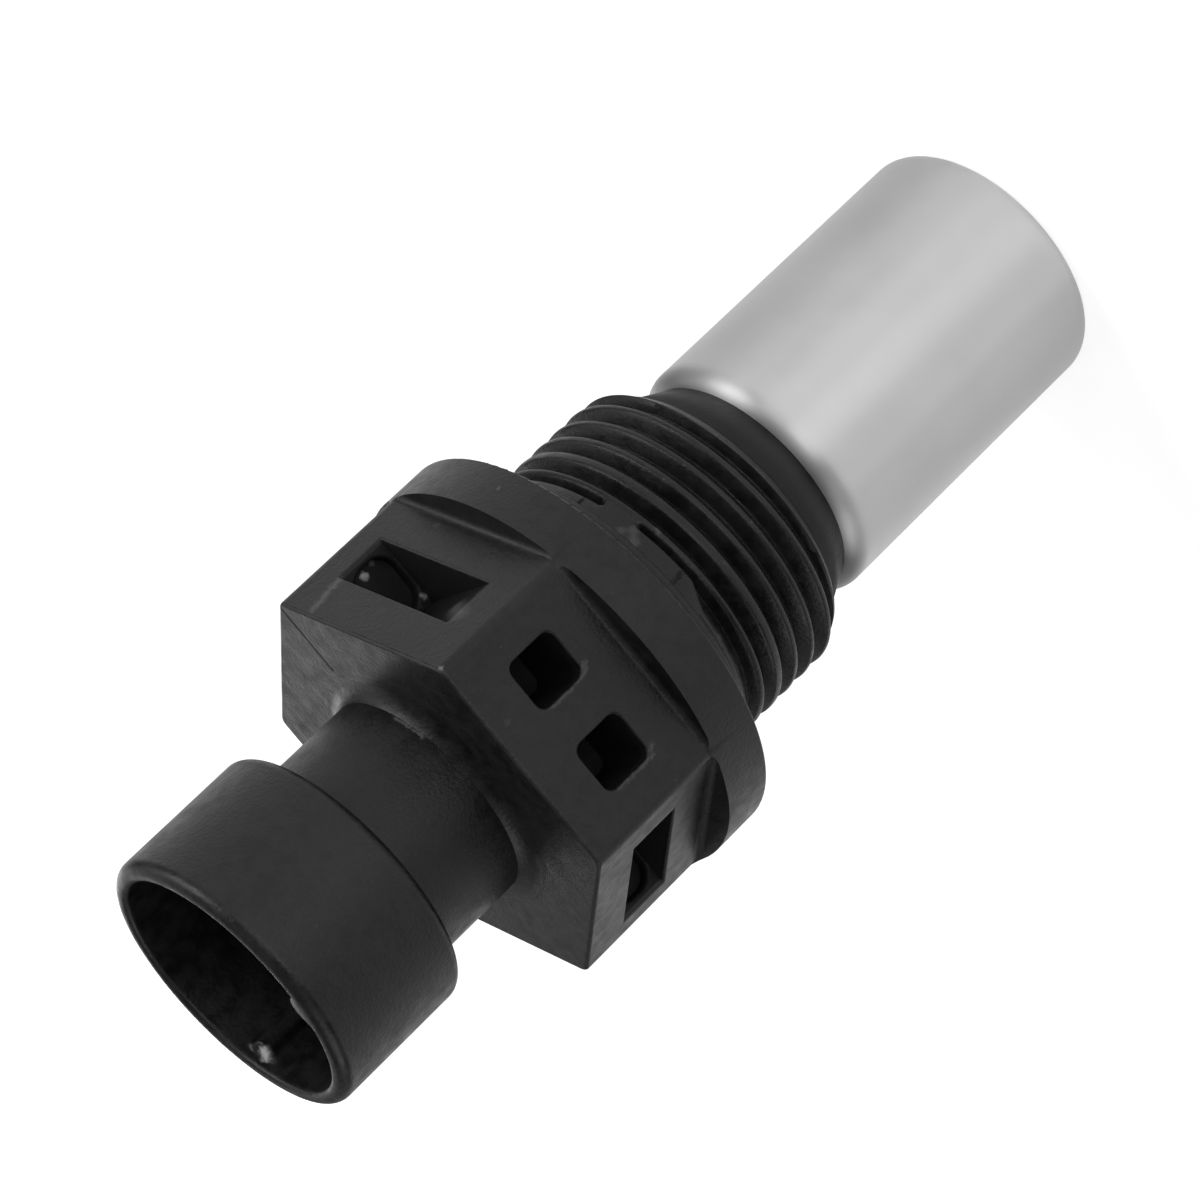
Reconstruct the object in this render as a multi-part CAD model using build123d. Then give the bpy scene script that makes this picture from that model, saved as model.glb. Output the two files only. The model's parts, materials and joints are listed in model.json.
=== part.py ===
from build123d import *
import math
import os

# Crankshaft position sensor with a plastic screw-in housing and a steel sensing can.
# All sizes are in millimetres. The frame stands on the sensor's axis: +Z points to the
# connector, the can hangs along -Z, and the origin is the middle of the flange's seat face.
# The two mould halves of the housing part on the plane Y = 0.

# Housing, outside
flange_diameter = 36.7
flange_thickness = 4.4
flange_edge_radius = 0.25
hex_across_flats = 32.0
hex_height = 12.8
hex_corner_radius = 1.0
hex_foot_radius = 0.6
hex_top_radius = 0.3
neck_diameter = 18.5
neck_length = 9.8
neck_foot_radius = 2.0
shroud_diameter = 23.7
shroud_length = 12.7
shroud_heel_radius = 0.9
rim_radius = 0.65
thread_diameter = 27.0
thread_root_diameter = 24.5
thread_reach = 14.0
shank_diameter = 26.6
shank_length = 3.9
nose_length = 3.9
nose_tip_diameter = 19.8

# Housing, inside
socket_bore = 20.6
socket_depth = 10.0
carrier_bore = 14.8
carrier_recess = 7.4
magnet_bore = 16.0
spigot_length = 8.2
spigot_gap = 0.1
crimp_gap = 0.05

# Keys along the socket's wall: angle from -Y towards +X, diameter of the round rib, and its height
key_angle = -17.0
key_diameter = 3.2
guide_angle = -137.0
guide_diameter = 2.0
key_height = 1.1
key_foot_radius = 0.9

# Weight-saving pockets in the hexagon, open along the draw of the mould
pocket_foot = 4.1
pocket_height = 4.5
pocket_corner_radius = 0.8
pocket_edge_radius = 0.25
front_pocket_width = 4.3
front_pocket_offset = 3.9
front_pocket_web = 8.3
side_pocket_start = 10.9
side_pocket_web = 2.2
side_recess_margin = 0.4
side_recess_width = 5.1
side_recess_height = 4.1
side_recess_depth = 1.2
side_recess_radius = 1.7
recess_edge_radius = 0.3

# Steel can
can_diameter = 22.24
can_length = 30.2
can_wall = 0.6
can_tip_radius = 1.6
can_lip_reach = 1.1
can_lip_radius = 1.0

# Seals
flange_ring_section = 2.2
can_ring_section = 1.25
can_ring_groove_height = 1.8
can_ring_groove_offset = 2.6
ring_clearance = 0.02

# Coil stack in the can
cup_wall = 0.35
cup_gap = 0.05
cup_height = 20.5
bobbin_height = 20.7
bobbin_gap = 0.05
bobbin_lower_flange = 1.2
bobbin_upper_flange = 1.6
bobbin_barrel_diameter = 7.2
winding_diameter = 17.2
tape_thickness = 0.2
pole_diameter = 5.0
pole_gap = 0.05
pole_head_diameter = 9.0
pole_head_thickness = 1.5
magnet_diameter = 9.0
magnet_height = 8.0
back_plate_diameter = 15.2
back_plate_thickness = 1.5
cushion_diameter = 15.4
cushion_wall = 1.1
cushion_height = 3.0

# Wiring
lead_spacing = 11.2
lead_diameter = 0.9
lead_bore_gap = 0.35
lead_hole_gap = 0.15
lead_bend_start = 11.6
lead_bend_end = 6.6
lead_bend_radius = 3.0
post_diameter = 0.8
post_depth = 1.4
post_height = 1.8
sleeve_length = 2.8
sleeve_wall = 0.35
sleeve_gap = 0.05
terminal_spacing = 7.0
pin_diameter = 2.4
pin_setback = 5.7
pin_nose_radius = 0.7
collar_diameter = 3.8
collar_thickness = 1.4
collar_offset = 1.4
tail_diameter = 1.9
tail_length = 10.0
cup_bore_diameter = 1.0
cup_bore_depth = 3.0
carrier_thickness = 4.3
carrier_gap = 0.05
potting_height = 12.0

# Heights along the axis, from the seat face
flange_top = flange_thickness
hex_top = flange_top + hex_height
shroud_heel = hex_top + neck_length
rim = shroud_heel + shroud_length
socket_floor = rim - socket_depth
carrier_top = socket_floor - carrier_recess
carrier_seat = carrier_top - carrier_thickness
thread_end = -thread_reach
thread_chamfer = (thread_diameter - thread_root_diameter) / 2
nose_top = thread_end - thread_chamfer
lip = nose_top - nose_length
can_tip = lip - can_length
spigot_end = lip - spigot_length
can_bore = can_diameter - 2 * can_wall
spigot_diameter = can_bore - 2 * spigot_gap
crimp_shoulder = lip - can_wall - crimp_gap
can_ring_top = crimp_shoulder - can_ring_groove_offset

# Bore that the leads run through
lead_bore = lead_spacing + lead_diameter + 2 * lead_bore_gap

# Heights of the coil stack, from the inside of the can's tip upwards
cup_floor = can_tip + can_wall
bobbin_foot = cup_floor + cup_wall
bobbin_top = bobbin_foot + bobbin_height
magnet_foot = bobbin_top + pole_head_thickness
back_plate_foot = magnet_foot + magnet_height
cushion_foot = back_plate_foot + back_plate_thickness
cushion_top = cushion_foot + cushion_height
post_top = bobbin_top + post_height
pin_tip = rim - pin_setback
tail_end = carrier_seat - tail_length
lead_top = tail_end + cup_bore_depth - sleeve_gap

os.makedirs("parts", exist_ok=True)


def turned(outline, rounds=()):
    # A solid of revolution from (radius, height) corners, with some corners rounded.
    face = make_face(Polyline(*outline, close=True))
    for corner, radius in rounds:
        face = fillet(face.vertices().sort_by_distance(corner)[0], radius)
    return revolve(Plane.XZ * face, Axis.Z)


def disc(diameter, foot, top, x=0.0):
    return Pos(x, 0, foot) * Cylinder(
        diameter / 2, top - foot, align=(Align.CENTER, Align.CENTER, Align.MIN)
    )


def tube(outer, inner, foot, top):
    return disc(outer, foot, top) - disc(inner, foot, top)


def torus_ring(inner_diameter, section, height):
    return Pos(0, 0, height) * Torus(inner_diameter / 2 + section / 2, section / 2)


# Housing: flange and spanner hexagon, with the foot of the flats rounded into the flange
def hex_head():
    corner_reach = hex_across_flats / math.sqrt(3)
    blank = disc(2 * corner_reach + 6 * hex_foot_radius, 0, flange_top)
    hexagon = fillet(RegularPolygon(corner_reach, 6).vertices(), hex_corner_radius)
    prism = extrude(Pos(0, 0, flange_top) * hexagon, hex_height)
    head = blank + prism
    foot = head.edges().filter_by_position(Axis.Z, flange_top, flange_top).sort_by(SortBy.LENGTH)
    head = fillet(foot[:-1], hex_foot_radius)
    crown = head.edges().filter_by_position(Axis.Z, hex_top, hex_top)
    head = fillet(crown, hex_top_radius)
    outline = turned(
        [(0, 0), (flange_diameter / 2, 0), (flange_diameter / 2, hex_top), (0, hex_top)],
        [((flange_diameter / 2, 0), flange_edge_radius)],
    )
    return head & outline


# Housing: neck and connector shroud above the hexagon
def neck_and_shroud():
    neck = neck_diameter / 2
    shroud = shroud_diameter / 2
    foot = neck + neck_foot_radius
    return turned(
        [(0, flange_top), (foot, flange_top), (foot, hex_top), (neck, hex_top),
         (neck, shroud_heel), (shroud, shroud_heel), (shroud, rim), (0, rim)],
        [((neck, hex_top), neck_foot_radius), ((shroud, shroud_heel), shroud_heel_radius)],
    )


# Housing: shank, thread blank, tapered nose and the spigot that the can is crimped on
def screw_end():
    spigot = spigot_diameter / 2
    nose = nose_tip_diameter / 2
    thread = thread_diameter / 2
    groove = spigot - can_ring_section + ring_clearance + spigot_gap
    groove_foot = can_ring_top - can_ring_groove_height
    shank = shank_diameter / 2
    return turned(
        [(0, spigot_end), (spigot, spigot_end), (spigot, groove_foot), (groove, groove_foot),
         (groove, can_ring_top), (spigot, can_ring_top), (spigot, crimp_shoulder),
         (nose, crimp_shoulder), (nose, lip), (thread_root_diameter / 2, nose_top),
         (thread, thread_end), (thread, -shank_length), (shank, -shank_length),
         (shank, flange_top), (0, flange_top)],
        [((spigot, crimp_shoulder), can_lip_radius - can_wall + crimp_gap)],
    )


# Housing: socket whose wall carries two round ribs, so that the plug goes in one way round only
def socket():
    outline = Circle(socket_bore / 2)
    for angle, diameter in ((key_angle, key_diameter), (guide_angle, guide_diameter)):
        reach = socket_bore / 2 - key_height + diameter / 2
        outline -= Rot(0, 0, angle) * Pos(0, -reach, 0) * Circle(diameter / 2)
    outline = fillet(outline.vertices(), key_foot_radius)
    return extrude(Pos(0, 0, socket_floor) * outline, socket_depth)


# Housing: stepped bore under the socket for terminal carrier, leads and magnet
def inner_bore():
    carrier = carrier_bore / 2
    lead = lead_bore / 2
    magnet = magnet_bore / 2
    return turned([
        (0, socket_floor), (carrier, socket_floor), (carrier, carrier_seat), (lead, carrier_seat),
        (lead, cushion_top), (magnet, cushion_top), (magnet, spigot_end), (0, spigot_end),
    ])


# Housing: pockets that leave even walls in the hexagon, one set in each mould half
def pocket(middle, web, outline):
    height = flange_top + pocket_foot + pocket_height / 2
    plane = Plane(origin=(middle, -web, height), x_dir=(1, 0, 0), z_dir=(0, -1, 0))
    return extrude(plane * outline, hex_across_flats)


def hexagon_pockets():
    front = pocket(
        front_pocket_offset, front_pocket_web,
        RectangleRounded(front_pocket_width, pocket_height, pocket_corner_radius),
    )
    side_width = flange_diameter / 2 - side_pocket_start
    side = pocket(
        side_pocket_start + side_width / 2, side_pocket_web,
        Rectangle(side_width, pocket_height),
    )
    recess = pocket(
        side_pocket_start + side_recess_margin + side_recess_width / 2,
        side_pocket_web - side_recess_depth,
        RectangleRounded(side_recess_width, side_recess_height, side_recess_radius),
    )
    quarter = front + side + recess
    half = quarter + mirror(quarter, Plane.YZ)
    return half + mirror(half, Plane.XZ)


# Edges where a pocket breaks out of one of the hexagon's flats
def pocket_mouths(body):
    foot = flange_top + pocket_foot - pocket_edge_radius
    top = foot + pocket_height + 2 * pocket_edge_radius

    def on_a_flat(edge):
        ends = [edge @ 0, edge @ 0.5, edge @ 1]
        turns = [math.radians(60 * n) for n in range(6)]
        return any(
            all(abs(p.X * math.sin(a) + p.Y * math.cos(a) - hex_across_flats / 2) < 1e-3 for p in ends)
            for a in turns
        )

    def between(edge):
        box = edge.bounding_box()
        return box.min.Z > foot and box.max.Z < top

    return body.edges().filter_by(between).filter_by(on_a_flat)


# Edges round the recess in the floor of each side pocket
def recess_mouths(body):
    middle = flange_top + pocket_foot + pocket_height / 2
    start = side_pocket_start + side_recess_margin

    def round_recess(edge):
        at, box = edge.center(), edge.bounding_box()
        in_floor = box.size.Y < 1e-3 and abs(abs(at.Y) - side_pocket_web) < 1e-3
        across = start - 1e-2 < abs(at.X) < start + side_recess_width + 1e-2
        return in_floor and across and abs(at.Z - middle) < side_recess_height / 2 + 1e-2

    return body.edges().filter_by(round_recess)


def housing():
    body = hex_head() + neck_and_shroud() + screw_end() - hexagon_pockets()
    body = fillet(pocket_mouths(body), pocket_edge_radius)
    body = fillet(recess_mouths(body), recess_edge_radius)
    body -= socket() + inner_bore()
    return fillet(body.edges().filter_by_position(Axis.Z, rim, rim), rim_radius)


# Deep-drawn can, its open edge rolled in over the spigot's shoulder
def sensor_can():
    outer = can_diameter / 2
    inner = can_bore / 2
    mouth = outer - can_lip_reach
    return turned(
        [(0, can_tip), (outer, can_tip), (outer, lip), (mouth, lip), (mouth, lip - can_wall),
         (inner, lip - can_wall), (inner, cup_floor), (0, cup_floor)],
        [((outer, can_tip), can_tip_radius), ((outer, lip), can_lip_radius),
         ((inner, lip - can_wall), can_lip_radius - can_wall),
         ((inner, cup_floor), can_tip_radius - can_wall)],
    )


# Rubber rings: one under the flange, one in the spigot's groove
def flange_ring():
    return torus_ring(shank_diameter, flange_ring_section, -flange_ring_section / 2)


def can_ring():
    groove = spigot_diameter - 2 * (can_ring_section - ring_clearance - spigot_gap)
    middle = can_ring_top - can_ring_groove_height / 2
    return torus_ring(groove, can_ring_section - 2 * ring_clearance, middle)


# Insulating cup between the coil and the can
def insulating_cup():
    outer = can_bore / 2 - cup_gap
    inner = outer - cup_wall
    corner = can_tip_radius - can_wall + cup_gap
    return turned(
        [(0, cup_floor), (outer, cup_floor), (outer, cup_floor + cup_height),
         (inner, cup_floor + cup_height), (inner, bobbin_foot), (0, bobbin_foot)],
        [((outer, cup_floor), corner), ((inner, bobbin_foot), corner - cup_wall)],
    )


def bobbin():
    flange = can_bore / 2 - cup_gap - cup_wall - bobbin_gap
    barrel = bobbin_barrel_diameter / 2
    bore = pole_diameter / 2 + pole_gap
    lower = bobbin_foot + bobbin_lower_flange
    upper = bobbin_top - bobbin_upper_flange
    spool = turned(
        [(bore, bobbin_foot), (flange, bobbin_foot), (flange, lower), (barrel, lower),
         (barrel, upper), (flange, upper), (flange, bobbin_top), (bore, bobbin_top)],
        [((flange, bobbin_foot), can_tip_radius - can_wall)],
    )
    for side in (-1, 1):
        spool -= disc(post_diameter, bobbin_top - post_depth, bobbin_top, side * lead_spacing / 2)
    return spool


def winding():
    return tube(winding_diameter, bobbin_barrel_diameter,
                bobbin_foot + bobbin_lower_flange, bobbin_top - bobbin_upper_flange)


def winding_tape():
    return tube(winding_diameter + 2 * tape_thickness, winding_diameter,
                bobbin_foot + bobbin_lower_flange, bobbin_top - bobbin_upper_flange)


# Soft iron pole with a head that carries the magnet
def pole_piece():
    head = disc(pole_head_diameter, bobbin_top, magnet_foot)
    return head + disc(pole_diameter, bobbin_foot, bobbin_top)


def magnet():
    return disc(magnet_diameter, magnet_foot, back_plate_foot)


# Iron plate on the magnet, drilled for the two leads
def back_plate():
    plate = disc(back_plate_diameter, back_plate_foot, cushion_foot)
    hole = lead_diameter + 2 * lead_hole_gap
    for side in (-1, 1):
        plate -= disc(hole, back_plate_foot, cushion_foot, side * lead_spacing / 2)
    return plate


# Rubber ring under the housing's ledge that holds the stack down on the can's tip
def cushion_ring():
    return tube(cushion_diameter, cushion_diameter - 2 * cushion_wall, cushion_foot, cushion_top)


def bobbin_post(side):
    return disc(post_diameter, bobbin_top - post_depth, post_top, side * lead_spacing / 2)


# Insulated lead from the bobbin's post up to the terminal's solder cup
def lead_wire(side):
    lower_x = side * lead_spacing / 2
    upper_x = side * terminal_spacing / 2
    path = FilletPolyline(
        (lower_x, 0, post_top),
        (lower_x, 0, tail_end - lead_bend_start),
        (upper_x, 0, tail_end - lead_bend_end),
        (upper_x, 0, lead_top),
        radius=lead_bend_radius,
    )
    section = Plane(origin=path @ 0, z_dir=path % 0) * Circle(lead_diameter / 2)
    return sweep(section, path=path)


def lead_sleeve(side):
    inner = lead_diameter + 2 * sleeve_gap
    outer = inner + 2 * sleeve_wall
    foot = post_top - sleeve_length / 2
    sleeve = tube(outer, inner, foot, foot + sleeve_length)
    return Pos(side * lead_spacing / 2, 0, 0) * sleeve


# Turned terminal: contact pin, collar held in the carrier, and a tail with a solder cup
def terminal(side):
    pin = pin_diameter / 2
    collar = collar_diameter / 2
    tail = tail_diameter / 2
    collar_top = carrier_top - collar_offset
    collar_foot = collar_top - collar_thickness
    solder_cup = cup_bore_diameter / 2
    turned_pin = turned(
        [(0, tail_end + cup_bore_depth), (solder_cup, tail_end + cup_bore_depth), (solder_cup, tail_end),
         (tail, tail_end), (tail, collar_foot), (collar, collar_foot), (collar, collar_top),
         (pin, collar_top), (pin, pin_tip), (0, pin_tip)],
        [((pin, pin_tip), pin_nose_radius)],
    )
    return Pos(side * terminal_spacing / 2, 0, 0) * turned_pin


# Moulded insert that closes the bottom of the socket and holds both terminals
def terminal_carrier():
    carrier = disc(carrier_bore - 2 * carrier_gap, carrier_seat, carrier_top)
    return carrier - terminal(-1) - terminal(1)


# Resin that seals the terminal tails and the upper ends of the leads
def potting():
    fill = disc(lead_bore, carrier_seat - potting_height, carrier_seat)
    for side in (-1, 1):
        x = side * terminal_spacing / 2
        fill -= disc(tail_diameter, tail_end, carrier_seat, x)
        fill -= disc(lead_diameter, carrier_seat - potting_height, tail_end, x)
    return fill


pieces = {
    "housing": housing(),
    "sensor_can": sensor_can(),
    "flange_o_ring": flange_ring(),
    "can_o_ring": can_ring(),
    "insulating_cup": insulating_cup(),
    "coil_bobbin": bobbin(),
    "coil_winding": winding(),
    "winding_tape": winding_tape(),
    "pole_piece": pole_piece(),
    "magnet": magnet(),
    "back_plate": back_plate(),
    "cushion_ring": cushion_ring(),
    "terminal_carrier": terminal_carrier(),
    "potting": potting(),
}
for name, side in (("left", -1), ("right", 1)):
    pieces[f"bobbin_post_{name}"] = bobbin_post(side)
    pieces[f"lead_sleeve_{name}"] = lead_sleeve(side)
    pieces[f"lead_wire_{name}"] = lead_wire(side)
    pieces[f"terminal_{name}"] = terminal(side)

for name, piece in pieces.items():
    export_step(piece, f"parts/{name}.step")
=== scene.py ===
import json

import bmesh
import bpy
import numpy as np
from mathutils import Matrix


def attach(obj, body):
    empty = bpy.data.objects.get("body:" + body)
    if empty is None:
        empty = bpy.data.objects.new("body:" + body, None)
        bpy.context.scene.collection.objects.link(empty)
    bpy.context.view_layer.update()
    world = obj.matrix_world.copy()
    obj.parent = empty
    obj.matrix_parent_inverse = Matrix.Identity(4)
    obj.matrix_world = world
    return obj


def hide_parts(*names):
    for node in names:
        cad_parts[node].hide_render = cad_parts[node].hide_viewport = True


# Crankshaft position sensor. The frame is the CAD's: metres, +Z towards the connector, and the
# origin in the middle of the flange's seat face. The dictionaries hold millimetres and degrees,
# and angles count from the -Y side towards +X.

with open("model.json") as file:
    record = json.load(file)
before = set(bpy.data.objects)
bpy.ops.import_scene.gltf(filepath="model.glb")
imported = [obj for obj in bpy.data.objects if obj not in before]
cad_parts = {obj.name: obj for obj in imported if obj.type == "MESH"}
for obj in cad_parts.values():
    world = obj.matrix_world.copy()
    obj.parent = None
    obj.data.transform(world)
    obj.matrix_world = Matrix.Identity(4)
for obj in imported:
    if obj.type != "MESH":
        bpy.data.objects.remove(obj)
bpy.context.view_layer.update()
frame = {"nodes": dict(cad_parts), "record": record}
print("frame loaded:", len(frame["nodes"]), "nodes")

millimetre = 0.001


# Points of a turned surface: (r sin a, -r cos a, z)
def turnedPoints(radius, height, angle):
    radius, height, a = np.broadcast_arrays(radius, height, np.radians(angle))
    return np.stack([radius * np.sin(a), -radius * np.cos(a), height], axis=-1)


# Angles of the columns round one turn
def columnAngles(columns, start=0.0):
    return np.arange(columns) * 360 / columns + start


# Arc of a profile: centre plus radius times (cos t, sin t), as (radius, height) pairs
def arc(centreRadius, centreHeight, radius, start, end, steps):
    t = np.radians(np.linspace(start, end, steps))
    return np.stack([centreRadius + radius * np.cos(t), centreHeight + radius * np.sin(t)], axis=-1)


# Rise from 0 at low to 1 at high: 3 t^2 - 2 t^3
def smoothStep(low, high, x):
    t = np.clip((x - low) / (high - low), 0, 1)
    return t * t * (3 - 2 * t)


# 0 before zero and x after it, rounded between: (x + sqrt(x^2 + rounding^2)) / 2
def softRamp(x, rounding):
    return 0.5 * (x + np.sqrt(x ** 2 + rounding ** 2))


# Lesser of two values, rounded where they cross
def softLeast(a, b, rounding):
    return a - softRamp(a - b, rounding)


# Quads between neighbouring rows of a grid that closes round its columns. Where the last column
# meets the first, the row steps on by wrapRows, so that a helix runs into its own next turn.
# They face out where the rows climb an outer wall, and downwards rows are turned over.
def closedGridFaces(rows, columns, wrapRows=0, downwards=False):
    i, j = np.meshgrid(np.arange(rows - 1), np.arange(columns), indexing="ij")
    nextRow = i + (j == columns - 1) * wrapRows
    nextColumn = (j + 1) % columns
    quads = np.stack([i * columns + j, nextRow * columns + nextColumn,
                      (nextRow + 1) * columns + nextColumn, (i + 1) * columns + j], axis=-1)
    quads = quads[(nextRow >= 0) & (nextRow + 1 < rows)].reshape(-1, 4)
    return quads[:, ::-1] if downwards else quads


# Profile of (radius, height) pairs turned round the axis: points and faces
def turnedShell(profile, columns, start=0.0, downwards=False):
    profile = np.asarray(profile, float)
    grid = turnedPoints(profile[:, :1], profile[:, 1:], columnAngles(columns, start))
    return grid, closedGridFaces(len(grid), columns, downwards=downwards)


# One object from several shells of (points, faces): doubles merged, smooth up to an edge angle
def pieceFromShells(name, shells, sharpAngle=35.0, mergeAt=0.002, thinnest=0.00001):
    points, faces, start = [], [], 0
    for shellPoints, shellFaces in shells:
        points.append(np.asarray(shellPoints, float).reshape(-1, 3) * millimetre)
        faces.extend((np.asarray(shellFaces) + start).tolist())
        start += len(points[-1])
    mesh = bpy.data.meshes.new(name)
    mesh.from_pydata(np.concatenate(points).tolist(), [], faces)
    work = bmesh.new()
    work.from_mesh(mesh)
    bmesh.ops.remove_doubles(work, verts=work.verts, dist=mergeAt * millimetre)
    bmesh.ops.dissolve_degenerate(work, edges=work.edges, dist=thinnest * millimetre)
    work.to_mesh(mesh)
    work.free()
    mesh.polygons.foreach_set("use_smooth", np.ones(len(mesh.polygons), bool))
    mesh.set_sharp_from_angle(angle=np.radians(sharpAngle))
    piece = bpy.data.objects.new(name, mesh)
    bpy.context.scene.collection.objects.link(piece)
    return piece


# Triangles of a CAD node in millimetres: array of (triangle, corner, xyz)
def nodeTriangles(node):
    mesh = frame["nodes"][node].data
    points = np.empty(len(mesh.vertices) * 3)
    mesh.vertices.foreach_get("co", points)
    corners = np.empty(len(mesh.loops), int)
    mesh.loops.foreach_get("vertex_index", corners)
    return points.reshape(-1, 3)[corners].reshape(-1, 3, 3) / millimetre


# Housing: the moulded flats, pockets and bore stay as the CAD has them, and the turned neck,
# shroud, keyed socket and threaded shank are finer surfaces that take the place of its plain walls.

upperHousing = {
    "columns": 420,
    # the neck flares out at its foot, on an arc that meets it at a crease
    "hexTop": 17.2, "flareRadius": 10.85, "flareRound": 1.95, "neck": 9.25, "creaseRise": 0.3,
    # where the hexagon's flat top begins, and how its edge is tucked under it: outwards and down
    "flatFrom": 11.25, "lap": 0.01, "tuckOut": 0.3, "tuckDown": 0.05,
    "heel": 27.0, "heelFillet": 0.45,
    "shroud": 11.85, "heelRound": 0.9, "rim": 39.7, "rimOuterRound": 1.0, "rimInnerRound": 0.45,
    "socket": 10.3, "socketFloor": 29.7, "floorFillet": 0.3, "carrierBore": 7.4,
    # each round rib in the socket: angle, radius, height, how far under the rim it starts and is full
    "keys": [(-17.0, 1.3, 1.4, -0.1, 0.3), (-137.0, 1.0, 1.1, 0.85, 1.5)],
    "keyFillet": 0.9,
    # rings in which the ribs rise: first, end and step, down from the rim
    "keyRings": (0.6, 1.9, 0.1),
}


# Inner wall of the socket. A rib of radius p, centred d from the axis, stands in the wall at
# r = d cos a - sqrt(p^2 - d^2 sin^2 a); its foot is the same with the fillet's circle and a plus.
# Under the rim each rib rises from the plain wall over its run-in.
def socketRadius(angle, height, sizes):
    socket, fillet = sizes["socket"], sizes["keyFillet"]
    wall = np.full(np.broadcast(angle, height).shape, socket)
    for keyAngle, ribRadius, ribHeight, start, full in sizes["keys"]:
        away = np.abs((angle - keyAngle + 180) % 360 - 180)
        ribCentre = socket - ribHeight + ribRadius
        footCentre = socket - fillet
        reach = ribRadius + fillet
        footAngle = np.degrees(np.arccos((ribCentre ** 2 + footCentre ** 2 - reach ** 2)
                                         / (2 * ribCentre * footCentre)))
        footPlace = footCentre * np.array([np.cos(np.radians(footAngle)), np.sin(np.radians(footAngle))])
        touch = (np.array([ribCentre, 0]) * fillet + ribRadius * footPlace) / reach
        touchAngle = np.degrees(np.arctan2(touch[1], touch[0]))
        a = np.radians(away)
        rib = ribCentre * np.cos(a) - np.sqrt(np.clip(ribRadius ** 2 - (ribCentre * np.sin(a)) ** 2, 0, None))
        b = np.radians(away - footAngle)
        foot = footCentre * np.cos(b) + np.sqrt(np.clip(fillet ** 2 - (footCentre * np.sin(b)) ** 2, 0, None))
        ribbed = np.select([away <= touchAngle, away <= footAngle], [rib, foot], wall)
        wall = wall + smoothStep(start, full, sizes["rim"] - height) * (ribbed - wall)
    return wall


# Neck and shroud as plain turned rings, then the socket's rings, whose radius is an offset from
# the ribbed wall
def upperShell(sizes):
    columns, hexTop, neck, shroud = sizes["columns"], sizes["hexTop"], sizes["neck"], sizes["shroud"]
    foot, flare, heel, rim = sizes["flareRadius"], sizes["flareRound"], sizes["heel"], sizes["rim"]
    fillet, heelRound, rimRound = sizes["heelFillet"], sizes["heelRound"], sizes["rimOuterRound"]
    crease = 180 + np.degrees(np.arccos((foot - neck) / flare))
    creaseHeight = hexTop + flare - np.sqrt(flare ** 2 - (foot - neck) ** 2)
    outside = np.concatenate([
        [(sizes["flatFrom"] + sizes["tuckOut"], hexTop - sizes["tuckDown"])],
        [(sizes["flatFrom"] + sizes["lap"], hexTop)],
        arc(foot, hexTop + flare, flare, 270, crease, steps=14),
        [(neck, creaseHeight + sizes["creaseRise"])],
        arc(neck + fillet, heel - fillet, fillet, 180, 90, steps=6),
        arc(shroud - heelRound, heel + heelRound, heelRound, 270, 360, steps=12),
        arc(shroud - rimRound, rim - rimRound, rimRound, 0, 90, steps=10),
    ])
    inRound, low, floor = sizes["rimInnerRound"], sizes["floorFillet"], sizes["socketFloor"]
    inside = np.concatenate([
        arc(inRound, rim - inRound, inRound, 90, 180, steps=8),
        [(0, rim - down) for down in np.arange(*sizes["keyRings"])],
        arc(-low, floor + low, low, 0, -90, steps=5),
    ])
    angle = columnAngles(columns)
    offset, height = inside[:, :1], inside[:, 1:]
    grid = np.concatenate([
        turnedPoints(outside[:, :1], outside[:, 1:], angle),
        turnedPoints(socketRadius(angle, height, sizes) + offset, height, angle),
        turnedPoints(sizes["carrierBore"], floor, angle)[None],
    ])
    return grid, closedGridFaces(len(grid), columns)


thread = {
    "columns": 360,
    "angleZero": 11.66,              # where the thread's own angle 0 lies
    "firstCrest": -4.9, "pitch": 2.0, "turns": (-3, 7),
    "crestRadius": 13.5, "landRadius": 13.4, "rootRadius": 12.27, "flank": 30.0,
    "firstWidthTurn": -2, "crestHalfWidths": [0.22, 0.22, 0.24, 0.40, 0.24, 0.22, 0.22, 0.22, 0.22],
    "edgeRound": 0.12, "valleyRound": 0.12, "rootRound": 0.1, "rootLeast": 0.02,
    # rows of a turn: the whole part is the stretch (0 crest, 1 upper flank, 2 root, 3 lower flank,
    # 4 next crest), and the rest is the share of it
    "rows": [0, 1 / 3, 2 / 3, 0.88, 1, 1.12, 1.3, 1.6, 1.85, 2, 2.5, 3, 3.15, 3.4, 3.7, 3.88, 4, 4.12, 4.45],
    # the first groove, in turns along the helix: where it deepens, the bridge that interrupts it,
    # and where its crest grows out of the land under the flange
    "grooveStart": (-0.972, -0.833), "bridge": ((-0.588, -0.580), (-0.548, -0.540)), "landEnd": (-0.14, 0.12),
    # at first it is a narrow slot: upper edge left and right of the bridge, in pitches
    "slotLeft": 0.70, "slotRight": 0.60, "slotRightFrom": 23.0, "slotFlank": 9.0,
    # it opens to the full thread between these angles, where the land runs out
    "openFrom": -8.0, "openTo": -23.0,
    # there its upper side is a soft slope, which steepens to the thread's own flank round the back
    "openFlank": 50.0, "openRound": 0.5, "steepFrom": -100.0, "steepTo": -175.0,
    "top": 0.05, "chamferTop": -14.0, "chamferFoot": -15.25, "chamferReach": 0.6, "chamferRound": 0.08,
    "noseRadius": 12.25, "noseTip": 9.92, "noseTipHeight": -19.4,
    # undercut below the thread: steps inwards and down from its last edge
    "undercut": [(0.0, 0.0), (0.02, 0.08), (0.10, 0.14), (0.50, 0.42), (0.62, 0.62), (0.72, 0.90)],
}


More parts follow.
